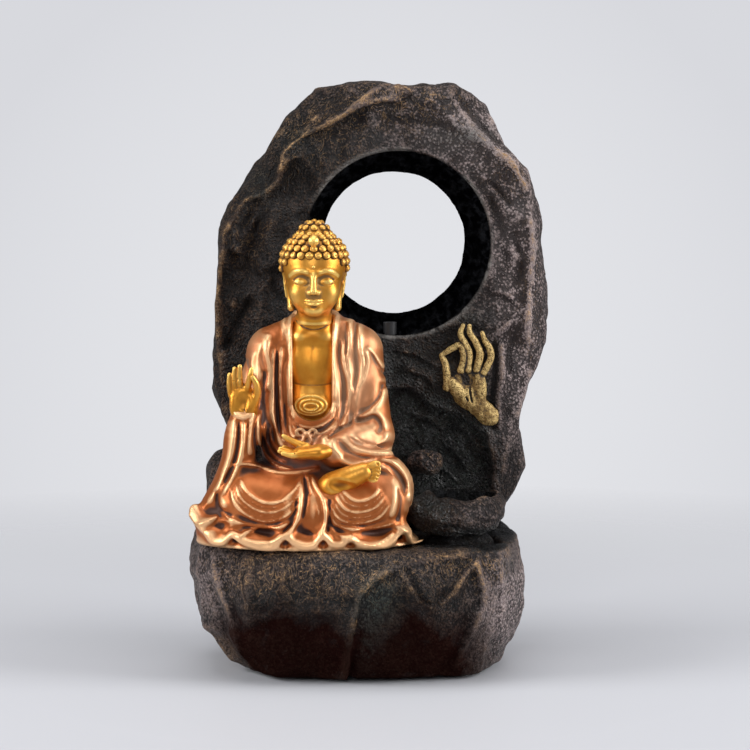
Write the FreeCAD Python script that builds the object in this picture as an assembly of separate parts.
# Tabletop water fountain: a hollow stone-look base with a pool, an upright stone with a round
# window, a seated robed figure, a water bowl, and the submersible pump and riser that feed it.
# Millimetres, +Z up. Origin: centre of the footprint's bounding box, on the table. The front is -Y.
import FreeCAD
import Part
import math
import os

os.makedirs("parts", exist_ok=True)
V = FreeCAD.Vector
UP = V(0, 0, 1)
BACK = V(0, 1, 0)

# ---- driving dimensions -------------------------------------------------------------------
overall_height = 350.0
base_half_width = 102.0      # at the widest level of the base
base_half_depth = 75.0
base_mid_x = -7.0            # the base leans left of the upright stone
pad_height = 2.0
base_height = 80.0           # top of the deck above the table
base_wall = 6.0
base_floor = 5.0
deck_thickness = 6.0
wall_split_y = 35.0          # the walls are split into front, sides and rear here

arch_half_width = 102.0
arch_mid_x = 7.0
arch_front_y = 10.0
arch_back_y = 68.0
arch_bevel_depth = 14.0      # how deep the chipped edge runs, front and back
arch_bevel = 0.09            # share of the outline that the chipped edge takes away
arch_mid_share = 0.52        # the bevel narrows the outline towards this share of the height
window_x = 21.0
window_drop = 96.0           # from the top of the stone to the window's centre
window_front_r = 55.0
window_back_r = 42.0
spout_seat_drop = 6.0        # seat of the spout under the window's sill

pool_x, pool_y = 48.0, -24.0
pool_rx, pool_ry = 31.0, 28.0
pool_depth = 12.0
pool_wall = 4.0
drain_count, drain_pitch, drain_width = 5, 9.0, 4.0

bowl_x, bowl_y = 54.5, -18.2
bowl_r = 27.0
bowl_height = 22.0
bowl_wall = 4.0
bowl_mouth_r = 20.0
stand_height = 16.0
stand_r = 19.0

hatch_width = 60.0
hatch_low_z = 14.0
hatch_high_z = 66.0
hatch_seat_y = 54.0          # the cover rests against this plane
hatch_frame = 8.0            # thickness of the frame behind the cover
hatch_lip = 6.0
hatch_gap = 0.35

cable_r = 2.6                # bore of the cable grommet, for a 5 mm lead
grommet_x, grommet_z = 52.0, 60.0
grommet_neck_r = 5.0
grommet_flange_r = 7.5
grommet_flange = 2.0
grommet_wall = 6.0
grommet_recess = 3.0        # depth of the flat that its outer flange sits on

pump_width = 36.0
pump_height = 32.0
pump_length = 27.0
pump_y = -8.5                # rear face of the motor block
cup_height = 4.0
outlet_wall = 0.4            # of the outlet stub, outside the tube's own radius
outlet_margin = 0.2          # of the pump's front chamber, each side of the stub
volute_r = 13.0
cover_wall = 1.8
cover_gap = 1.0              # from the pump's front chamber to the sponge
sponge = 3.0
slider_travel = 12.0
well_r = 8.6                 # rotor well
rotor_r = 7.8
rotor_back_gap = 4.2         # from the rear of the motor block to the magnet
rotor_front_gap = 3.8        # from the magnet to the front of the motor block
shaft_r = 1.0
shaft_clearance = 0.06
blade_count = 6
slot_count, slot_pitch = 7, 3.6
tube_r = 4.0                 # riser tube, outside
tube_bore_r = 2.8
barb_bore_r = 1.7
channel_gap = 1.2            # round the tube inside the stone
way_in_gap = 4.0             # round the tube where it slopes up into the stone
way_in_height = 34.0

spout_x, spout_y = 13.0, 17.0
spout_rise = 4.5             # how far the spout stands above the window's sill
rest_gap = 0.3

boulder_half_x, boulder_half_y = 13.0, 18.0
boulder_y = 30.0
pebble_r = 10.0
pebble_x, pebble_rise = 35.0, 42.0
wall_hand_x, wall_hand_drop = 60.0, 83.0   # drop is measured from the window's centre
digit_r = 2.4

figure_x = -32.0
sleeve_x, sleeve_y = -71.0, -37.0
sleeve_low_r, sleeve_high_r = 15.0, 8.0
sleeve_low, sleeve_high = 38.0, 76.0       # heights of the raised sleeve over the deck
lap_hand_rise = 51.0
foot_rise = 34.0
foot_tilt = -11.0
opening_left, opening_right = -44.0, -20.0 # sides of the robe's open front
opening_rise = 64.0
opening_back_y = -14.0
head_r = 20.0
head_height = 56.0
head_y = -20.0
ear_r = 2.4
neck_rise = 133.0            # top of the neck over the deck
neck_r = 10.5
hand_relief = 5.0            # how proud the wall hand stands

# ---- values worked out from them ----------------------------------------------------------
deck_z = base_height
floor_z = pad_height + base_floor
arch_height = overall_height - deck_z
window_z = overall_height - window_drop
pump_z = floor_z + cup_height
rotor_z = pump_z + pump_height / 2
rotor_length = pump_length - rotor_back_gap - rotor_front_gap
volute_y = pump_y + pump_length
volute_length = 2 * (tube_r + outlet_wall + outlet_margin)
outlet_y = volute_y + volute_length / 2
cover_length = volute_length + cover_gap + sponge + cover_wall
neck_z = deck_z + neck_rise
deck_low_z = deck_z - deck_thickness

# Corners of a block of stone seen from above, as shares of its half width and half depth.
BASE_CORNERS = [(-0.62, -0.93), (-0.1, -1.0), (0.45, -0.97), (0.84, -0.76), (1.0, -0.25), (0.97, 0.35),
                (0.72, 0.82), (0.25, 1.0), (-0.3, 0.98), (-0.75, 0.8), (-1.0, 0.3), (-0.93, -0.45)]
# Levels of the base: share of its height, share of half width, share of half depth, shift in x.
BASE_LEVELS = [(0.0, 0.77, 0.77, 7.0), (0.33, 0.93, 0.92, 1.5), (0.74, 1.0, 1.0, 0.0),
               (1.0, 0.965, 0.96, 0.0)]

# Outline of the upright stone seen from the front: shares of its half width and of its height.
ARCH_CORNERS = [(-0.78, 0.0), (-0.8, 0.12), (-0.92, 0.25), (-1.0, 0.31), (-0.99, 0.4), (-0.955, 0.49),
                (-0.96, 0.67), (-0.89, 0.72), (-0.75, 0.8), (-0.54, 0.92), (-0.37, 0.985), (-0.09, 1.0),
                (0.44, 0.998), (0.61, 0.952), (0.72, 0.86), (0.86, 0.81), (0.94, 0.7), (0.985, 0.54),
                (1.0, 0.42), (0.91, 0.33), (0.83, 0.22), (0.85, 0.14), (0.76, 0.05), (0.72, 0.0)]

# Seated robe, from the hem up: height over the deck, left, right, front and back.
ROBE_LEVELS = [(0.0, -98, 33, -70, 9.0), (12, -103, 29, -71, 9.2), (26, -97, 26, -69, 9.2),
               (40, -90, 25, -60, 9.0), (54, -87, 18, -48, 9.0), (70, -83, 15, -40, 8.0),
               (88, -80, 14, -37, 7.0), (106, -73, 12, -34, 5.0), (120, -65, 6, -30, 2.0),
               (130, -50, -8, -26, -2.0)]


# ---- helpers ------------------------------------------------------------------------------
def box(x0, x1, y0, y1, z0, z1):
    return Part.makeBox(x1 - x0, y1 - y0, z1 - z0, V(x0, y0, z0))


def rod(r, length, place, axis=UP):
    return Part.makeCylinder(r, length, place, axis)


def pipe(r_out, r_in, length, place, axis=UP):
    return rod(r_out, length, place, axis).cut(rod(r_in, length, place, axis))


def loft(loops):
    wires = [Part.makePolygon([*points, points[0]]) for points in loops]
    return Part.makeLoft(wires, True, True)


def ellipse_wire(x, y, z, rx, ry):
    if rx >= ry:
        curve = Part.Ellipse(V(x + rx, y, z), V(x, y + ry, z), V(x, y, z))
    else:
        curve = Part.Ellipse(V(x, y + ry, z), V(x - rx, y, z), V(x, y, z))
    return Part.Wire([curve.toShape()])


def revolve(profile, place, axis=UP):
    # profile holds (radius, height) corners; the solid stands on place along axis
    points = [V(r, 0, h) for r, h in profile]
    face = Part.Face(Part.makePolygon([*points, points[0]]))
    solid = face.revolve(V(0, 0, 0), UP, 360)
    solid.Placement = FreeCAD.Placement(place, FreeCAD.Rotation(UP, axis))
    return solid


def fillet_box(x0, x1, y0, y1, z0, z1, r, along):
    solid = box(x0, x1, y0, y1, z0, z1)
    edges = [e for e in solid.Edges if abs(e.tangentAt(e.FirstParameter).dot(along)) > 0.99]
    return solid.makeFillet(r, edges)


def capsule(start, end, r):
    # a rounded rod between two points
    start, end = V(*start), V(*end)
    body = rod(r, (end - start).Length, start, end - start)
    return body.fuse(Part.makeSphere(r, start)).fuse(Part.makeSphere(r, end)).removeSplitter()


def slab(low, high):
    # everything between two levels
    return box(-300, 300, -300, 300, low, high)


def behind(y, reach=200):
    # everything behind a plane
    return box(-300, 300, y, y + reach, -10, 400)


def export(name, shape):
    shape.exportStep(f"parts/{name}.step")


# ---- stone base ---------------------------------------------------------------------------
def base_block(inset=0.0, low=pad_height, high=base_height):
    # the outer form of the base between two levels, or its inner form when inset is the wall thickness
    loops = []
    for height, half_x, half_y, shift in BASE_LEVELS:
        z = pad_height + height * (base_height - pad_height)
        rx = base_half_width * half_x - inset
        ry = base_half_depth * half_y - inset
        loops.append([V(base_mid_x + shift + u * rx, v * ry, z) for u, v in BASE_CORNERS])
    return loft(loops).common(slab(low, high))


def hatch_box(gap, y0, y1):
    return box(-hatch_width / 2 + gap, hatch_width / 2 - gap, y0, y1, hatch_low_z + gap, hatch_high_z - gap)


def base_outer_y(x, z):
    # how far back the outside of the base reaches at a point of its rear wall
    probe_r = 0.05
    probe = rod(probe_r, 200, V(x, 0, z), BACK).common(base_block())
    return probe.Volume / (math.pi * probe_r ** 2)


def grommet_seat_y():
    return base_outer_y(grommet_x, grommet_z) - grommet_recess


def tube_points():
    # centre line of the riser tube, from the pump's outlet to the spout
    low = pump_z + pump_height + 3.0
    return [V(0, outlet_y, low), V(0, outlet_y, low + 15), V(spout_x, spout_y, deck_z + 28),
            V(spout_x, spout_y, spout_seat_z() - 3.0)]


def tube_at(z):
    low, high = tube_points()[1:3]
    return low + (high - low) * ((z - low.z) / (high.z - low.z))


def drain_slots():
    slots = []
    for step in range(drain_count):
        x = pool_x - 24 + step * drain_pitch
        slots.append(box(x, x + drain_width, pool_y - 20, pool_y - 10, deck_low_z - pool_depth, deck_z))
    return slots


def pool(inset, low, high):
    wires = [ellipse_wire(pool_x, pool_y, z, pool_rx - inset, pool_ry - inset) for z in (low, high)]
    return Part.makeLoft(wires, True, True)


def base_floor_plate():
    return base_block(0.0, pad_height, floor_z)


def base_deck():
    # the top of the base with the pool sunk into it
    basin = pool(-pool_wall, deck_z - pool_depth - pool_wall, deck_z).common(base_block(base_wall))
    body = base_block(0.0, deck_low_z, deck_z).fuse(basin).cut(pool(0, deck_z - pool_depth, deck_z + 1))
    for slot in drain_slots():
        body = body.cut(slot)
    # the riser tube passes the deck under the upright stone
    hole = tube_at(deck_z - deck_thickness / 2)
    return body.cut(rod(tube_r + 5, 30, V(hole.x, hole.y, deck_z - 15))).removeSplitter()


def base_ring():
    # the side walls, all round
    outer = base_block(0.0, floor_z, deck_low_z)
    body = outer.cut(base_block(base_wall, floor_z, deck_low_z))
    # rear hatch: a frame inside, the recess that takes the cover, and the way through
    frame = hatch_box(-hatch_lip, hatch_seat_y - hatch_frame, 100).common(outer)
    body = body.fuse(frame).cut(hatch_box(0, hatch_seat_y, 120)).cut(hatch_box(hatch_lip, 30, 120))
    # cable grommet: an inner boss, a spot face outside and the hole
    seat = grommet_seat_y()
    boss = rod(grommet_flange_r + 3, 60, V(grommet_x, seat - grommet_wall, grommet_z), BACK).common(outer)
    body = body.fuse(boss)
    body = body.cut(rod(grommet_flange_r + 1.5, 60, V(grommet_x, seat, grommet_z), BACK))
    inside = V(grommet_x, seat - grommet_wall - 20, grommet_z)
    body = body.cut(rod(grommet_flange_r + 0.5, 20, inside, BACK))
    return body.cut(rod(grommet_neck_r, 60, inside, BACK)).removeSplitter()


def base_walls():
    # the ring in four pieces that touch, so that each one bends only a little
    ring = base_ring()
    cuts = {"base_front": box(-300, 300, -300, -wall_split_y, 0, 200),
            "base_left": box(-300, base_mid_x, -wall_split_y, wall_split_y, 0, 200),
            "base_right": box(base_mid_x, 300, -wall_split_y, wall_split_y, 0, 200),
            "base_rear": box(-300, 300, wall_split_y, 300, 0, 200)}
    return {name: ring.common(cut) for name, cut in cuts.items()}


def rear_cover():
    body = base_block().common(hatch_box(hatch_gap, hatch_seat_y, 120))
    inner = base_block(base_wall).common(hatch_box(hatch_lip, hatch_seat_y, 120))
    body = body.cut(inner)
    grip_y = base_outer_y(0, hatch_high_z - hatch_gap)
    return body.cut(Part.makeSphere(9.0, V(0, grip_y + 3.0, hatch_high_z)))


def cable_grommet():
    wall = grommet_wall
    profile = [(cable_r, -wall - grommet_flange), (grommet_flange_r - 1, -wall - grommet_flange),
               (grommet_flange_r, -wall), (grommet_neck_r, -wall), (grommet_neck_r, 0), (grommet_flange_r, 0),
               (grommet_flange_r - 0.8, grommet_flange), (cable_r, grommet_flange)]
    return revolve(profile, V(grommet_x, grommet_seat_y(), grommet_z), BACK)


def foot_pads():
    spots = [(sx * base_half_width * 0.5 + base_mid_x + 7, sy * base_half_depth * 0.45)
             for sx in (-1, 1) for sy in (-1, 1)]
    return Part.makeCompound([rod(8.0, pad_height, V(x, y, 0)) for x, y in spots])


# ---- upright stone ------------------------------------------------------------------------
def arch_loop(y, bevel):
    # the outline at one depth; bevel is the share of it that is taken away
    loop = []
    for u, v in ARCH_CORNERS:
        narrowing = bevel if v > arch_mid_share else 0
        share_v = v + (arch_mid_share - v) * narrowing
        loop.append(V(arch_mid_x + u * (1 - bevel) * arch_half_width, y, deck_z + share_v * arch_height))
    return loop


def arch_block():
    return loft([arch_loop(arch_front_y, arch_bevel), arch_loop(arch_front_y + arch_bevel_depth, 0.0),
                 arch_loop(arch_back_y - arch_bevel_depth, 0.01), arch_loop(arch_back_y, arch_bevel)])


def window_cone():
    # the opening narrows from the front face to the back face
    reach = arch_back_y - arch_front_y
    slope = (window_back_r - window_front_r) / reach
    over = 20.0
    return Part.makeCone(window_front_r - slope * over, window_back_r + slope * over, reach + 2 * over,
                         V(window_x, arch_front_y - over, window_z), BACK)


def sill_z(x, y):
    # height of the window's lower wall at a point
    share = (y - arch_front_y) / (arch_back_y - arch_front_y)
    r = window_front_r + (window_back_r - window_front_r) * share
    return window_z - math.sqrt(r * r - (x - window_x) ** 2)


def spout_seat_z():
    return sill_z(spout_x, spout_y) - spout_seat_drop


def upright_stone():
    # one solid casting with a bore for the riser tube and a wider bore where the tube slopes in
    seat = spout_seat_z()
    entry = tube_at(deck_z)
    body = arch_block().cut(window_cone())
    body = body.cut(rod(tube_r + channel_gap, seat - deck_z, V(spout_x, spout_y, deck_z)))
    body = body.cut(rod(tube_r + way_in_gap, way_in_height, V(entry.x, entry.y, deck_z)))
    return body.cut(rod(tube_r + 0.1, 40, V(spout_x, spout_y, seat - 0.01))).removeSplitter()


def side_boulder():
    # a lump of stone on the deck, left of the upright
    near_x = arch_mid_x - arch_half_width * 0.78 - rest_gap
    rings = [(0, 0.8, 0.9), (16, 1.0, 1.0), (34, 0.85, 0.85), (47, 0.4, 0.5)]
    corners = [(-1.0, -0.3), (-0.7, -0.9), (0.0, -1.0), (1.0, -0.8), (1.0, 0.8), (0.1, 1.0), (-0.8, 0.7)]
    loops = []
    for rise, share_x, share_y in rings:
        mid_x = near_x - boulder_half_x * (1 + share_x) / 2
        rx, ry = boulder_half_x * share_x, boulder_half_y * share_y
        loops.append([V(mid_x + u * rx, boulder_y + v * ry, deck_z + rise) for u, v in corners])
    return loft(loops).cut(arch_block())


def wall_pebble():
    lump = Part.makeSphere(pebble_r, V(pebble_x, arch_front_y - 2, deck_z + pebble_rise))
    return lump.cut(behind(arch_front_y))


def finger(points, r):
    solid = capsule(points[0], points[1], r)
    for start, end in zip(points[1:], points[2:]):
        solid = solid.fuse(capsule(start, end, r))
    return solid


def wall_hand():
    # a raised hand in relief: a palm and wrist, a thumb and first finger that meet, three fingers up
    x, y, z = wall_hand_x, arch_front_y, window_z - wall_hand_drop
    palm = finger([(x - 2, y, z - 12), (x - 6, y, z + 2), (x + 3, y, z + 4)], 7.5)
    wrist = finger([(x + 2, y, z - 18), (x + 12, y, z - 24)], 5.5)
    digits = [[(x - 8, y, z - 2), (x - 12, y, z + 12)],
              [(x - 4, y, z + 8), (x - 4, y, z + 17), (x - 11, y, z + 13)],
              [(x + 1, y, z + 9), (x + 2, y, z + 20), (x - 2, y, z + 31)],
              [(x + 6, y, z + 8), (x + 8, y, z + 20), (x + 4, y, z + 32)],
              [(x + 9, y, z + 5), (x + 14, y, z + 15), (x + 11, y, z + 24)]]
    hand = palm.fuse(wrist)
    for points in digits:
        hand = hand.fuse(finger(points, digit_r))
    return hand.cut(behind(y)).common(behind(y - hand_relief)).removeSplitter()


# ---- bowl ---------------------------------------------------------------------------------
def bowl_stand():
    foot = deck_z - pool_depth
    profile = [(0, 0), (stand_r - 3, 0), (stand_r, 5), (stand_r + 1, 11), (stand_r - 4, stand_height),
               (0, stand_height)]
    return revolve(profile, V(bowl_x, bowl_y, foot))


def water_bowl():
    foot = deck_z - pool_depth + stand_height
    high, r = bowl_height, bowl_r
    outer = [(0, 0), (r * 0.5, 0), (r * 0.85, high * 0.2), (r, high * 0.5), (r * 0.97, high * 0.8),
             (r * 0.88, high), (0, high)]
    inner = [(0, bowl_wall), (r * 0.4, bowl_wall), (bowl_mouth_r * 0.9, high * 0.45),
             (bowl_mouth_r, high + 1), (0, high + 1)]
    place = V(bowl_x, bowl_y, foot)
    return revolve(outer, place).cut(revolve(inner, place))


# ---- seated figure ------------------------------------------------------------------------
def robe_form(back_shift=0.0):
    wires = []
    for rise, left, right, front, back in ROBE_LEVELS:
        mid_x, mid_y = (left + right) / 2, (front + back) / 2 + back_shift
        wires.append(ellipse_wire(mid_x, mid_y, deck_z + rise, (right - left) / 2, (back - front) / 2))
    return Part.makeLoft(wires, True, False)


def right_sleeve():
    return Part.makeCone(sleeve_low_r, sleeve_high_r, sleeve_high - sleeve_low,
                         V(sleeve_x, sleeve_y, deck_z + sleeve_low))


def left_forearm():
    return capsule((4, -26, deck_z + 66), (-16, -44, deck_z + 58), 11)


def raised_hand():
    z = deck_z + sleeve_high
    hand = fillet_box(-79, -65, -45, -38.5, z, z + 13, 2.5, UP)
    for step, length in enumerate((11, 13, 12, 8)):
        x = -77 + step * 3.4
        hand = hand.fuse(capsule((x, -41.5, z + 12), (x, -42.5 - step * 0.5, z + 12 + length), 1.7))
    hand = hand.fuse(capsule((-66, -42, z + 5), (-63.5, -44, z + 17), 1.9))
    return hand.fuse(rod(5.5, 8, V(-72, -41.5, z - 7))).removeSplitter()


def lap_hand():
    z = deck_z + lap_hand_rise
    hand = fillet_box(-46, -20, -60, -47, z, z + 6, 2.5, V(1, 0, 0))
    for step in range(4):
        y = -58.2 + step * 3.1
        hand = hand.fuse(capsule((-43, y, z + 3), (-54, y + 1, z + 4.5), 1.6))
    return hand.fuse(capsule((-40, -49, z + 6), (-50, -50, z + 14), 1.8)).removeSplitter()


def crossed_foot():
    z = deck_z + foot_rise
    foot = fillet_box(-34, 6, -66, -48, z, z + 11, 4.0, V(1, 0, 0))
    for step, r in enumerate((2.6, 2.0, 1.9, 1.7, 1.5)):
        y = -50.5 - step * 3.1
        foot = foot.fuse(capsule((5, y, z + 8), (10 - step * 0.6, y, z + 8.5), r))
    foot.rotate(V(-30, -57, z), BACK, foot_tilt)
    return foot.removeSplitter()


def open_front():
    return box(opening_left, opening_right, -90, opening_back_y, deck_z + opening_rise, neck_z + 1)


def chest():
    body = robe_form(2.5).common(open_front())
    neck = rod(neck_r, 16, V(figure_x, head_y, neck_z - 16))
    return body.fuse(neck).removeSplitter()


def robe(skin):
    body = robe_form().fuse(right_sleeve()).fuse(left_forearm())
    body = body.cut(open_front())
    for piece in skin:
        body = body.cut(piece)
    return body.cut(behind(arch_front_y - rest_gap))


def head():
    r, high = head_r, head_height
    shares = [(0, 0), (0.45, 0), (0.75, 0.12), (0.93, 0.3), (1.0, 0.5), (0.93, 0.68), (0.62, 0.82),
              (0.5, 0.92), (0.22, 0.99), (0, 1.0)]
    profile = [(r * share_r, high * share_z) for share_r, share_z in shares]
    skull = revolve(profile, V(figure_x, head_y, neck_z))
    for side in (-1, 1):
        ear = capsule((figure_x + side * r * 0.87, head_y, neck_z + high * 0.17),
                      (figure_x + side * r * 0.92, head_y, neck_z + high * 0.5), ear_r)
        skull = skull.fuse(ear)
    return skull.removeSplitter()


# ---- pump ---------------------------------------------------------------------------------
def core_parts():
    # U of laminations round the rotor well, the coil on its back leg, and the pocket they sit in
    well = rod(well_r + 1.4, 60, V(0, pump_y, rotor_z), BACK)
    y0, y1 = pump_y + 2.0, pump_y + pump_length - 5.0
    legs = box(-14, 14, y0 + 4, y1, rotor_z - 6, rotor_z + 6).cut(well)
    pocket = box(-15.5, 15.5, pump_y, y1 + 0.5, pump_z + 2.5, pump_z + pump_height - 2.5).cut(well)
    return legs, pocket


def coil_winding():
    legs, _ = core_parts()
    coils = []
    for side in (-1, 1):
        x0, x1 = sorted((side * 14.0, side * (well_r + 1.6)))
        y0 = pump_y + 7.5
        wrap = box(x0 - 0.8, x1 + 0.8, y0, y0 + 9, rotor_z - 9.5, rotor_z + 9.5)
        coils.append(wrap.cut(legs).cut(rod(well_r + 1.4, 60, V(0, pump_y, rotor_z), BACK)))
    return Part.makeCompound([solid for coil in coils for solid in coil.Solids])


def cup_spots():
    return [(sx * (pump_width / 2 - 6), pump_y + sy) for sx in (-1, 1) for sy in (6, pump_length - 6)]


def motor_block():
    _, pocket = core_parts()
    body = fillet_box(-pump_width / 2, pump_width / 2, pump_y, pump_y + pump_length, pump_z,
                      pump_z + pump_height, 4.0, BACK)
    body = body.cut(pocket)
    body = body.cut(rod(well_r, pump_length, V(0, pump_y + 3.0, rotor_z), BACK))
    body = body.cut(rod(2.5, 3.5, V(0, pump_y + 1.2, rotor_z), BACK))
    body = body.cut(pipe(volute_r - 0.8, volute_r - 2.4, 2, V(0, volute_y - 1.2, rotor_z), BACK))
    for x, y in cup_spots():
        body = body.cut(rod(1.6, 2.2, V(x, y, pump_z)))
    return body


def potting():
    legs, pocket = core_parts()
    return pocket.cut(legs).cut(coil_winding())


def suction_cups():
    profile = [(0, 0.9), (3.2, 0), (4.6, 0), (2.4, 2.2), (2.4, cup_height), (1.6, cup_height),
               (1.6, cup_height + 2.2), (0, cup_height + 2.2)]
    return Part.makeCompound([revolve(profile, V(x, y, floor_z)) for x, y in cup_spots()])


def volute_cover():
    body = rod(volute_r, volute_length, V(0, volute_y, rotor_z), BACK)
    stub_top = pump_z + pump_height + 3.0
    stub = rod(tube_r + outlet_wall, stub_top - rotor_z, V(0, outlet_y, rotor_z))
    barb = rod(tube_bore_r, stub_top + 9 - rotor_z, V(0, outlet_y, rotor_z))
    body = body.fuse(stub).fuse(barb)
    body = body.cut(rod(volute_r - 2.2, volute_length - 2, V(0, volute_y, rotor_z), BACK))
    body = body.cut(rod(4.2, 20, V(0, volute_y, rotor_z), BACK))
    body = body.cut(rod(barb_bore_r, 60, V(0, outlet_y, rotor_z + volute_r - 5)))
    bar = box(-4.5, 4.5, volute_y + volute_length - 2, volute_y + volute_length, rotor_z - 1.6, rotor_z + 1.6)
    body = body.fuse(bar).cut(rod(1.9, 1.4, V(0, volute_y + volute_length - 2, rotor_z), BACK))
    return body.removeSplitter()


def chamber_seal():
    return pipe(volute_r - 0.8, volute_r - 2.4, 1.2, V(0, volute_y - 1.2, rotor_z), BACK)


def shaft_bushes():
    y_front = volute_y + volute_length - 2
    rear = pipe(2.5, shaft_r, 2.4, V(0, pump_y + 1.2, rotor_z), BACK)
    front = pipe(1.9, shaft_r, 1.8, V(0, y_front - 0.4, rotor_z), BACK)
    return Part.makeCompound([rear, front])


def rotor_shaft():
    return rod(shaft_r, volute_y + volute_length - 0.8 - pump_y - 1.2, V(0, pump_y + 1.2, rotor_z), BACK)


def rotor_magnet():
    start = pump_y + rotor_back_gap
    bore = shaft_r + shaft_clearance
    return pipe(rotor_r, bore, rotor_length, V(0, start, rotor_z), BACK)


def impeller():
    start = pump_y + rotor_back_gap + rotor_length
    bore = shaft_r + shaft_clearance
    end = volute_y + volute_length - 3.4
    hub = rod(3.0, end - start, V(0, start, rotor_z), BACK)
    disc = rod(rotor_r - 0.4, 1.4, V(0, volute_y - 0.6, rotor_z), BACK)
    body = hub.fuse(disc)
    for step in range(blade_count):
        blade = box(2.0, volute_r - 3.2, volute_y + 0.6, end, rotor_z - 0.6, rotor_z + 0.6)
        blade.rotate(V(0, 0, rotor_z), BACK, 360.0 / blade_count * step)
        body = body.fuse(blade)
    return body.cut(rod(bore, 60, V(0, start - 1, rotor_z), BACK)).removeSplitter()


def lead_gland():
    profile = [(0, 0), (4.0, 0), (4.0, 1.5), (2.6, 2.2), (2.0, 7.0), (0, 7.0)]
    return revolve(profile, V(9, pump_y, pump_z + pump_height - 7), V(0, -1, 0))


def intake_box(inset, y0, y1, corner_r):
    # the rounded outline that the intake's skirt and cover share
    half = pump_width / 2 - inset
    return fillet_box(-half, half, y0, y1, pump_z + inset, pump_z + pump_height - inset, corner_r, BACK)


def intake_skirt():
    y0, y1 = volute_y + 0.1, volute_y + cover_length - cover_wall
    top = pump_z + pump_height
    body = intake_box(0, y0, y1, 4.0).cut(intake_box(cover_wall, y0, y1, 2.5))
    # slot that lets the outlet pass, open towards the motor block
    return body.cut(box(-tube_r - 1, tube_r + 1, y0, outlet_y + tube_r + 1.2, top - 5, top + 1))


def intake_cover():
    y1 = volute_y + cover_length
    y0 = y1 - cover_wall
    body = intake_box(0, y0, y1, 4.0)
    for step in range(slot_count):
        x = (step - (slot_count - 1) / 2) * slot_pitch
        body = body.cut(box(x - 0.8, x + 0.8, y0, y1, pump_z + 5, rotor_z + 1))
    # window that the flow slider covers, and the rails over and under it
    body = body.cut(box(1, slider_travel - 1, y0, y1, rotor_z + 5.8, rotor_z + 8.6))
    for z in (rotor_z + 4.2, rotor_z + 10.2):
        body = body.fuse(box(-slider_travel - 1, slider_travel + 1, y1, y1 + 1.6, z - 0.6, z + 0.6))
    return body.removeSplitter()


def filter_sponge():
    y1 = volute_y + cover_length - cover_wall
    half = pump_width / 2 - cover_wall - 0.6
    return box(-half, half, y1 - sponge, y1, pump_z + cover_wall + 0.6, rotor_z + 9.6)


def flow_slider():
    y1 = volute_y + cover_length
    plate = box(-slider_travel - 0.4, 0, y1 + 0.15, y1 + 1.35, rotor_z + 5.0, rotor_z + 9.4)
    knob_x = -slider_travel / 2
    knob = box(knob_x - 1.2, knob_x + 1.2, y1 + 0.15, y1 + 3.6, rotor_z + 5.6, rotor_z + 8.8)
    return plate.fuse(knob).removeSplitter()


# ---- riser --------------------------------------------------------------------------------
def rounded_path(points):
    # straight runs joined by arcs whose tangent length is 0.45 of the shorter run
    edges, start = [], points[0]
    for before, here, after in zip(points, points[1:], points[2:]):
        back, on = before - here, after - here
        reach = 0.45 * min(back.Length, on.Length)
        half_turn = (math.pi - back.getAngle(on)) / 2
        radius = reach / math.tan(half_turn)
        print(f"riser bend radius {radius:.1f} mm")
        back.normalize()
        on.normalize()
        enter, leave = here + back * reach, here + on * reach
        bisector = back + on
        bisector.normalize()
        middle = here + bisector * (radius / math.cos(half_turn) - radius)
        edges.append(Part.LineSegment(start, enter).toShape())
        edges.append(Part.Arc(enter, middle, leave).toShape())
        start = leave
    edges.append(Part.LineSegment(start, points[-1]).toShape())
    return Part.Wire(edges)


def riser_tube():
    points = tube_points()
    path = rounded_path(points)
    solids = []
    for r in (tube_r, tube_bore_r):
        ring = Part.Wire([Part.makeCircle(r, points[0], UP)])
        solids.append(path.makePipeShell([ring], True, True))
    section = math.pi * tube_r ** 2
    print(f"riser volume over section times length {solids[0].Volume / (section * path.Length):.4f}")
    return solids[0].cut(solids[1])


def outlet_spout():
    seat = spout_seat_z()
    top = sill_z(spout_x, spout_y) + spout_rise
    body = rod(tube_bore_r, 9, V(spout_x, spout_y, seat - 12))
    body = body.fuse(rod(tube_r + 0.6, 3, V(spout_x, spout_y, seat - 3)))
    body = body.fuse(rod(tube_r, top - seat, V(spout_x, spout_y, seat)))
    return body.cut(rod(barb_bore_r, 80, V(spout_x, spout_y, seat - 20))).removeSplitter()


def build():
    skin = {"chest": chest(), "raised_hand": raised_hand(), "lap_hand": lap_hand(),
            "crossed_foot": crossed_foot()}
    pieces = {
        **base_walls(), "base_floor": base_floor_plate(), "base_deck": base_deck(),
        "rear_cover": rear_cover(), "cable_grommet": cable_grommet(), "foot_pads": foot_pads(),
        "upright_stone": upright_stone(), "side_boulder": side_boulder(),
        "wall_pebble": wall_pebble(), "wall_hand": wall_hand(), "bowl_stand": bowl_stand(),
        "water_bowl": water_bowl(), "robe": robe(list(skin.values())), **skin, "head": head(),
        "motor_block": motor_block(), "stator_core": core_parts()[0], "coil_winding": coil_winding(),
        "potting": potting(), "suction_cups": suction_cups(), "volute_cover": volute_cover(),
        "chamber_seal": chamber_seal(), "shaft_bushes": shaft_bushes(), "rotor_shaft": rotor_shaft(),
        "rotor_magnet": rotor_magnet(), "impeller": impeller(), "lead_gland": lead_gland(),
        "intake_skirt": intake_skirt(), "intake_cover": intake_cover(), "filter_sponge": filter_sponge(),
        "flow_slider": flow_slider(), "riser_tube": riser_tube(), "outlet_spout": outlet_spout(),
    }
    for name, shape in pieces.items():
        print(f"{name}: valid {shape.isValid()}, {len(shape.Solids)} solid(s), {shape.Volume / 1000:.2f} cm3")
        export(name, shape)


build()
